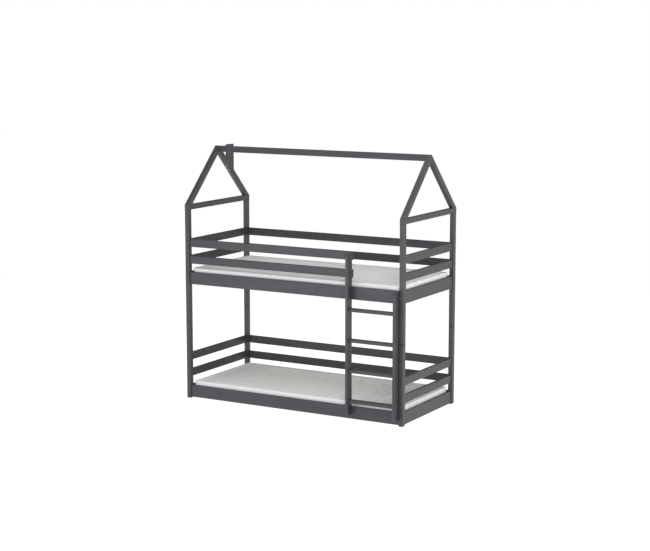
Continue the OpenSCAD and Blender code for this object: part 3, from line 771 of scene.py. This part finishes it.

# %% [markdown]
# ## Cover cloth
# The cover is a pale knit, and its border is a little whiter than its top. The rows of loops are
# about a millimetre and a half apart, too fine to model, so they are bumps in the material. Each
# seam carries a line of stitches, which we draw from the same wave that laid out the grid, so
# that thread and crease can't drift apart: a shallow dip along the seam, with painted shade that
# greys it, and a darker dash of thread for each stitch.

# %% Cover cloth
cover_pale = (0.818, 0.820, 0.824, 1)
cover_grey = (0.742, 0.745, 0.750, 1)
border_pale = (0.862, 0.864, 0.868, 1)
border_grey = (0.782, 0.785, 0.790, 1)
# The thread's grey, which is also the colour of the painted shade along the seams.
thread_and_seam_shade_colour = (0.62, 0.625, 0.635, 1)
cover_roughness = 0.86
cover_sheen = 0.25
cover_sheen_roughness = 0.45
slub_count = 260.0
cloud_count = 11.0
loop_spacing = 0.0016
knit_relief = 0.00035
stitch_length = 0.0042
stitch_full_until = 0.70
stitch_gone_from = 0.85
stitch_relief = 0.0012
stitch_shade = 0.4
thread_half_width = 0.0007
# Half width and strength of the painted shade that greys each seam's dip.
seam_dip_and_shade_half_width = 0.006
painted_seam_shade_strength = 0.62
border_ends_below_top = 0.016
quilt_starts_below_top = 0.010


def ripple(length, spacing):
    """A wave between -1 and 1 along a length, with one crest per spacing."""
    return (length * (2 * math.pi / spacing)).sine()


def distance_from_seam(x, y):
    """How far a point of the top is from the nearest seam, along the mattress."""
    swell = (1 - (x / half_length) ** fall_power) * (1 - (y / half_width) ** fall_power)
    swing = (y * (channel_waves * math.pi / half_width)).sine() * channel_swing * swell
    phase = ((x - swing) / channel_pitch).fract()
    return abs(phase - 0.5) * channel_pitch


def make_cover(name, base_z, turned):
    bench = Bench(name)
    place = bench.place()
    x, y, z = bench.axes(place)
    sign = -1 if turned else 1
    x = x * sign
    y = (y - mattress_middle_y) * sign
    height = z - base_z
    loops = (ripple(x, loop_spacing) + ripple(y, loop_spacing) + ripple(height, loop_spacing)) / 3
    slub = bench.specks(place, slub_count, detail=3)
    cloud = bench.specks(place, cloud_count, detail=3)
    border_ends = mattress_height - border_ends_below_top
    quilt_starts = mattress_height - quilt_starts_below_top
    on_top = height.between(border_ends, quilt_starts)
    distance = distance_from_seam(x, y)
    thread = distance.between(thread_half_width * 1.5, thread_half_width) * on_top
    stitch = thread * (y / stitch_length).fract().between(stitch_gone_from, stitch_full_until)
    # Painted shade: a band along each seam is greyed where the crease would be in shade. The same band
    # also sinks the bump as a real dip.
    seam_dip_and_painted_shade = distance.between(seam_dip_and_shade_half_width, 0.0) * on_top
    shade = slub * 0.5 + cloud * 0.5
    quilt_tone = bench.mixed(shade, cover_grey, cover_pale)
    border_tone = bench.mixed(shade, border_grey, border_pale)
    tone = bench.mixed(on_top, border_tone, quilt_tone)
    knit = bench.bump(loops * 0.5 + slub * 0.5, knit_relief, 0.6)
    return bench.finish(
        base_color=bench.mixed(seam_dip_and_painted_shade * painted_seam_shade_strength + stitch * stitch_shade, tone, thread_and_seam_shade_colour),
        roughness=cover_roughness + (slub - 0.5) * 0.12,
        sheen_weight=cover_sheen,
        sheen_roughness=cover_sheen_roughness,
        normal=bench.bump(stitch * 0.7 - seam_dip_and_painted_shade, stitch_relief, 0.7, under=knit),
    )


print("cover cloth ready")

# %% [markdown]
# ## Edge piping
# The quilted top is sewn to the border with a round piping, and so is the bottom. Each piping is
# one closed tube that runs along a ring of the border, half sunk in the cloth. A bevelled curve
# would do too, but a swept mesh keeps the tube round in the tight corners.

# %% Piping
piping_radius = 0.0021
piping_sides = 8
piping_sunk = 0.6


def piping_mesh(name, outward, height, turned):
    spin = turned_round(turned)
    mesh = bmesh.new()
    loops = []
    for column, row in rim_columns_and_rows():
        out = rim_normal(column, row)
        middle = Vector(top_points[column * points_per_column + row]) + out * outward
        middle.z = height
        loop = []
        for side in range(piping_sides):
            angle = 2 * math.pi * side / piping_sides
            reach = out * math.cos(angle) + Vector((0, 0, math.sin(angle)))
            loop.append(mesh.verts.new((middle + reach * piping_radius) * spin))
        loops.append(loop)
    for first, second in zip(loops, loops[1:] + loops[:1]):
        join_loops(mesh, first, second)
    bmesh.ops.recalc_face_normals(mesh, faces=mesh.faces)
    return to_data(mesh, name, smooth=True)


print("piping of radius", piping_radius * 1000, "mm")

# %% [markdown]
# ## Both mattresses
# Each mattress rides on its own body and stands for its plain solid.
# The upper one has its quilt turned half a turn, so that the pair isn't a copy. A piping sits at
# the height where the top's round edge ends, and another where the bottom's begins. A new piece
# has its points moved to their place, and not only its origin, so that a material can measure the
# whole bed in one set of coordinates.

# %% Make the mattresses
def add_piece(name, data, material, place, body):
    piece = bpy.data.objects.new(name, data)
    piece.data.materials.append(material)
    piece.location = place
    scene.collection.objects.link(piece)
    piece.data.transform(piece.matrix_basis)
    piece.location = (0, 0, 0)
    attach(piece, body)
    return piece


def make_mattress(body, turned):
    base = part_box(body)[0].z
    place = Vector((0, mattress_middle_y, base))
    cover = make_cover(body + "_cover_cloth", base, turned)
    data = mattress_mesh(body + "_quilt", turned)
    quilt = add_piece(body + "_quilt", data, cover, place, body)
    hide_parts(body)
    seat = edge_round - piping_radius * piping_sunk
    heights = {"top": mattress_height - crown - edge_round, "bottom": edge_round}
    for edge, height in heights.items():
        name = body + "_" + edge + "_piping"
        tube = piping_mesh(name, seat, height, turned)
        add_piece(name, tube, cover, place, body)
    return quilt


mattresses = [make_mattress("lower_mattress", False), make_mattress("upper_mattress", True)]
for quilt in mattresses:
    print(quilt.name, len(quilt.data.polygons), "faces")

# %% [markdown]
# ## Webbing cloth
# Two woven tapes lie along the slats of each bed and keep them apart. The weave is drawn by two
# crossed ripples, a wide one for the ribs and a fine one for the warp, with a little fuzz on top.
# Real threads could be modelled, but from a step away a bump looks the same.

# %% Webbing cloth
webbing_dark = (0.56, 0.53, 0.45, 1)
webbing_light = (0.76, 0.73, 0.65, 1)
rib_spacing = 0.0022
warp_spacing = 0.0011
fuzz_count = 700.0
webbing_roughness = 0.9
webbing_relief = 0.0003


def make_webbing():
    bench = Bench("cotton_webbing")
    x, y, z = bench.axes(bench.place())
    weave = ripple(x, rib_spacing) * ripple(y, warp_spacing)
    fuzz = bench.specks(bench.place(), fuzz_count)
    return bench.finish(
        base_color=bench.mixed(fuzz * 0.6 + weave * 0.2, webbing_dark, webbing_light),
        roughness=webbing_roughness,
        normal=bench.bump(weave + fuzz * 0.4, webbing_relief, 0.8),
    )


webbing = make_webbing()
print("made", webbing.name)

# %% [markdown]
# ## How a tape hangs
# A tape lies flat on each slat and sags a little between two, which a plain strip wouldn't. The
# sag is measured from the middles of the slats, so the tape follows them if they move.

# %% Sag of a tape
slat_width = 0.070
slat_count = 13
tape_sag = 0.0026
slats_low, slats_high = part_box("lower_slats")
first_slat = slats_low.x + slat_width / 2
slat_step = (slats_high.x - slats_low.x - slat_width) / (slat_count - 1)
slat_middles = [first_slat + slat_step * index for index in range(slat_count)]


def sag_at(x):
    """0 on a slat, and a shallow curve down between two."""
    offset = abs((x - first_slat + slat_step / 2) % slat_step - slat_step / 2)
    free = (offset - slat_width / 2) / (slat_step / 2 - slat_width / 2)
    return 0 if free <= 0 else -tape_sag * (1 - (1 - free) ** 2)


print(slat_count, "slats, one every", round(1000 * slat_step), "mm")

# %% [markdown]
# ## Webbing on the slats
# The part's source has a plain strip for each tape. We read the place and width of each strip from
# its corners, and draw a thin band with bevelled edges in its stead.

# %% Tapes
tape_thickness = 0.0011
tape_points_per_slat = 24
tape_low, tape_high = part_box("slat_tapes")


def tape_lines():
    """(middle y, bottom z) of each tape, and half a tape's width.

    The strips of the two beds lie one above the other, so their corners have only four heights,
    a bottom and a top for each bed, and only four sides, two for each line of strips.
    """
    corners = [point.co for point in nodes["slat_tapes"].data.vertices]
    heights = sorted({round(corner.z, 4) for corner in corners})
    bottoms = heights[::2]
    sides = sorted({round(corner.y, 4) for corner in corners})
    middles = [(sides[0] + sides[1]) / 2, (sides[2] + sides[3]) / 2]
    return [(y, z) for y in middles for z in bottoms], (sides[1] - sides[0]) / 2


def close_tube(mesh, loops):
    """Joins the loops of a tube and closes both of its ends."""
    for first, second in zip(loops, loops[1:]):
        join_loops(mesh, first, second)
    mesh.faces.new(list(reversed(loops[0])))
    mesh.faces.new(loops[-1])


def add_tape(mesh, middle_y, bottom_z, half_tape):
    count = tape_points_per_slat * (slat_count - 1)
    edge = tape_thickness / 2
    flat = half_tape - edge
    outline = [(-half_tape, edge), (-flat, 0), (flat, 0)]
    outline += [(half_tape, edge), (flat, 2 * edge), (-flat, 2 * edge)]
    loops = []
    for index in range(count + 1):
        x = tape_low.x + (tape_high.x - tape_low.x) * index / count
        z = bottom_z + sag_at(x)
        loops.append([mesh.verts.new((x, middle_y + y, z + up)) for y, up in outline])
    close_tube(mesh, loops)


lines, half_tape = tape_lines()
tape_shape = bmesh.new()
for line_y, line_z in lines:
    add_tape(tape_shape, line_y, line_z, half_tape)
bmesh.ops.recalc_face_normals(tape_shape, faces=tape_shape.faces)
tape_data = to_data(tape_shape, "slat_webbing", smooth=False)
tapes = add_piece("slat_webbing", tape_data, webbing, Vector((0, 0, 0)), "frame")
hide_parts("slat_tapes")
print(len(lines), "tapes")

# %% [markdown]
# ## Staples
# A staple holds each tape on each slat. Only its back shows: a short flat wire with rounded
# ends, pressed into the cloth. Its legs are inside the slat, so they aren't made.

# %% Staples
staple_length = 0.010
staple_width = 0.0012
staple_rise = 0.0005
staple_sides = 6
staple_steps = 6
staple_sunk = 0.4
staple_flatness = 0.5
staple_tip = 0.12


def add_staple(mesh, x, y, z):
    loops = []
    for step in range(staple_steps + 1):
        share = step / staple_steps
        along = -staple_length / 2 + staple_length * share
        blunt = max(staple_tip, min(1 - staple_tip, share))
        size = staple_width / 2 * min(1, math.sin(math.pi * blunt) * 2)
        loop = []
        for side in range(staple_sides):
            angle = 2 * math.pi * side / staple_sides
            up = staple_rise * staple_sunk + math.sin(angle) * size * staple_flatness
            loop.append(mesh.verts.new((x + math.cos(angle) * size, y + along, z + up)))
        loops.append(loop)
    close_tube(mesh, loops)


staple_shape = bmesh.new()
for line_y, line_z in lines:
    for slat_x in slat_middles:
        add_staple(staple_shape, slat_x, line_y, line_z + tape_thickness)
bmesh.ops.recalc_face_normals(staple_shape, faces=staple_shape.faces)
staple_data = to_data(staple_shape, "tape_staples", smooth=False)
add_piece("tape_staples", staple_data, zinc, Vector((0, 0, 0)), "frame")
print(len(lines) * slat_count, "staples")

# %% [markdown]
# ## Floor and backdrop
# The photograph has a white studio behind the bed. A floor painted white would still carry the
# bed's shadow. So a grey floor, slightly uneven near the bed, glows until it is white, and glows
# fully further away, so that no horizon and no shadow shows.

# %% Floor
floor_half = 60.0
floor_squares = 8
floor_near = 2.6
floor_far = 7.0
floor_glow = 0.93
floor_roughness = 0.7
floor_blotch_count = 2.0
floor_dark = (0.33, 0.33, 0.33, 1)
floor_light = (0.37, 0.37, 0.37, 1)
black = (0, 0, 0, 1)
white = (1, 1, 1, 1)


def make_floor():
    bench = Bench("studio_floor")
    place = bench.place()
    far = bench.node("VectorMath", {"operation": "LENGTH"}, {0: place}, output=1)
    fade = far.between(floor_near, floor_far)
    blotches = bench.specks(place, floor_blotch_count)
    paint = bench.mixed(blotches, floor_dark, floor_light)
    glow = (floor_glow, floor_glow, floor_glow, 1)
    return bench.finish(
        base_color=bench.mixed(fade, paint, black),
        roughness=floor_roughness,
        specular_ior_level=0.0,
        emission_color=bench.mixed(fade, glow, white),
        emission_strength=1.0,
    )


floor_shape = bmesh.new()
bmesh.ops.create_grid(
    floor_shape, x_segments=floor_squares, y_segments=floor_squares, size=floor_half
)
floor_data = to_data(floor_shape, "studio_floor", smooth=False)
floor_data.materials.append(make_floor())
studio_floor = bpy.data.objects.new("studio_floor", floor_data)
scene.collection.objects.link(studio_floor)
print("floor", 2 * floor_half, "m wide")

# %% [markdown]
# ## The room
# What looks away from every lamp still shows in the photograph, so the room itself gives a dim,
# nearly white light. A picture of a real room would add reflections that the photograph doesn't
# have. The camera sees plain white in its place, because the backdrop is white.

# %% Room light
room_strength = 0.28
room_colour = (0.99, 0.995, 1.0, 1)


def background(tree, colour, strength):
    made = tree.nodes.new("ShaderNodeBackground")
    made.inputs["Color"].default_value = colour
    made.inputs["Strength"].default_value = strength
    return made.outputs["Background"]


def make_room():
    room = bpy.data.worlds.new("studio_room")
    room.use_nodes = True
    tree = room.node_tree
    tree.nodes.clear()
    seen = tree.nodes.new("ShaderNodeLightPath")
    blend = tree.nodes.new("ShaderNodeMixShader")
    out = tree.nodes.new("ShaderNodeOutputWorld")
    tree.links.new(seen.outputs["Is Camera Ray"], blend.inputs[0])
    tree.links.new(background(tree, room_colour, room_strength), blend.inputs[1])
    tree.links.new(background(tree, white, 1.0), blend.inputs[2])
    tree.links.new(blend.outputs[0], out.inputs["Surface"])
    return room


scene.world = make_room()
print("room light", room_strength)

# %% [markdown]
# ## Softboxes
# The front boards are lit evenly, the right ends are a little brighter, and what faces inwards is
# darker. The lower mattress is brightest along its front and at its left end, where light gets
# past the upper bed. So six softboxes join the room: two in front, one at each end and two
# overhead. All are large and close, and the edges of their shadows are soft. The Standard view
# shows colours as they are, where a film-like one would turn the white backdrop grey.

# %% Softboxes
bed_middle = Vector((0, 0, 0.85))
cool_white = (0.955, 0.975, 1.0)
warm_white = (1.0, 1.0, 0.985)


def softbox(name, place, size, watts, colour):
    light = bpy.data.lights.new(name, "AREA")
    light.shape = "RECTANGLE"
    light.size, light.size_y = size
    light.energy = watts
    light.color = colour
    lamp = bpy.data.objects.new(name, light)
    lamp.location = place
    lamp.rotation_euler = (bed_middle - Vector(place)).to_track_quat("-Z", "Y").to_euler()
    scene.collection.objects.link(lamp)


softbox("low_front_softbox", (-0.8, -3.6, 0.7), size=(3.0, 0.9), watts=31, colour=cool_white)
softbox("left_softbox", (-4.0, -0.9, 0.9), size=(2.0, 1.0), watts=40, colour=warm_white)
softbox("camera_side_softbox", (2.8, -3.8, 1.8), size=(2.2, 2.0), watts=62, colour=cool_white)
softbox("right_softbox", (4.4, -0.2, 1.5), size=(2.0, 2.0), watts=74, colour=warm_white)
softbox("front_ceiling_softbox", (0.0, -1.4, 4.1), size=(3.0, 2.0), watts=40, colour=warm_white)
softbox("rear_ceiling_softbox", (0.0, 0.9, 4.3), size=(3.0, 1.6), watts=23, colour=warm_white)
scene.view_settings.view_transform = "Standard"
